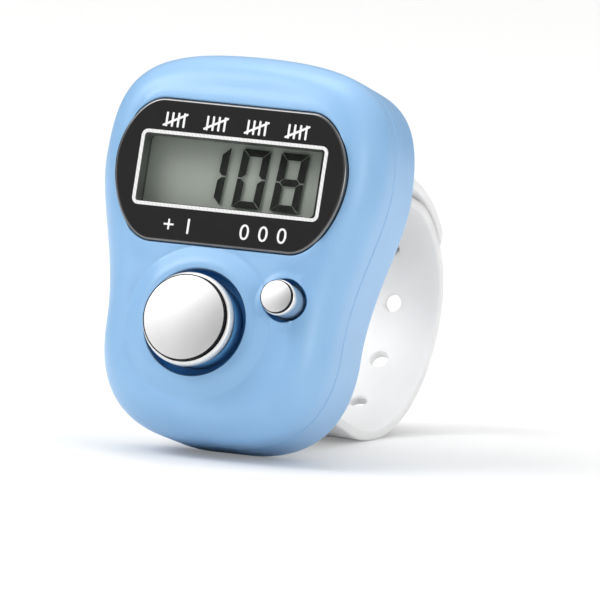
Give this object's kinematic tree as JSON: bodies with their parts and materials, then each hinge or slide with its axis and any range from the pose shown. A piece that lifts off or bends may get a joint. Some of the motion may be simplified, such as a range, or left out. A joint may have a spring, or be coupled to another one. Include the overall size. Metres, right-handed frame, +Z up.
{
  "type": "digital finger tally counter",
  "caption": "Finger-worn digital tally counter with a display, a sprung count button, a small sprung reset button and a soft holed strap buttoned into a loop.",
  "frame": {"origin": "bottom centre of the bounding box of the counter as it stands on a table, on its case's lower edge and its strap's loop", "axes": "+Z up, -Y towards the viewer of the display, +X to the right as the display is read; the case leans back 13.3 degrees from upright"},
  "size_m": [0.03, 0.057, 0.04],
  "materials": {
    "case_plastic": "semi-gloss",
    "bezel_plastic": "gloss",
    "window_clear": "clear",
    "gasket_foam": "matte",
    "lcd_glass": "satin",
    "reflector_film": "satin",
    "zebra_rubber": "matte",
    "board_laminate": "satin",
    "chip_epoxy": "satin",
    "button_chrome": "polished",
    "screw_steel": "satin",
    "cell_steel": "satin",
    "contact_nickel": "satin",
    "dome_silicone": "matte",
    "strap_soft": "satin"
  },
  "bodies": {
    "case": {"front_case": "case_plastic", "back_case": "case_plastic", "battery_door": "case_plastic", "battery_door_screw": "screw_steel", "case_screw_1": "screw_steel", "case_screw_2": "screw_steel", "case_screw_3": "screw_steel", "case_screw_4": "screw_steel", "board_screw_1": "screw_steel", "board_screw_2": "screw_steel", "display_bezel": "bezel_plastic", "display_window": "window_clear", "display_gasket": "gasket_foam", "lcd_front_glass": "lcd_glass", "lcd_rear_glass": "lcd_glass", "lcd_reflector": "reflector_film", "zebra_strip": "zebra_rubber", "circuit_board": "board_laminate", "chip_blob": "chip_epoxy", "button_cell": "cell_steel", "battery_contact_positive": "contact_nickel", "battery_contact_negative": "contact_nickel", "count_dome": "dome_silicone", "reset_dome": "dome_silicone", "strap": "strap_soft"},
    "count_button": {"count_button": "button_chrome"},
    "reset_button": {"reset_button": "button_chrome"}
  },
  "joints": [
    {"name": "count_press", "type": "slide", "parent": "case", "child": "count_button", "axis": [0, 0.9731, -0.2303], "range_m": [0, 0.0008], "stiffness_N_per_m": 700, "deforming": ["count_dome"]},
    {"name": "reset_press", "type": "slide", "parent": "case", "child": "reset_button", "axis": [0, 0.9731, -0.2303], "range_m": [0, 0.0006], "stiffness_N_per_m": 700, "deforming": ["reset_dome"]}
  ]
}
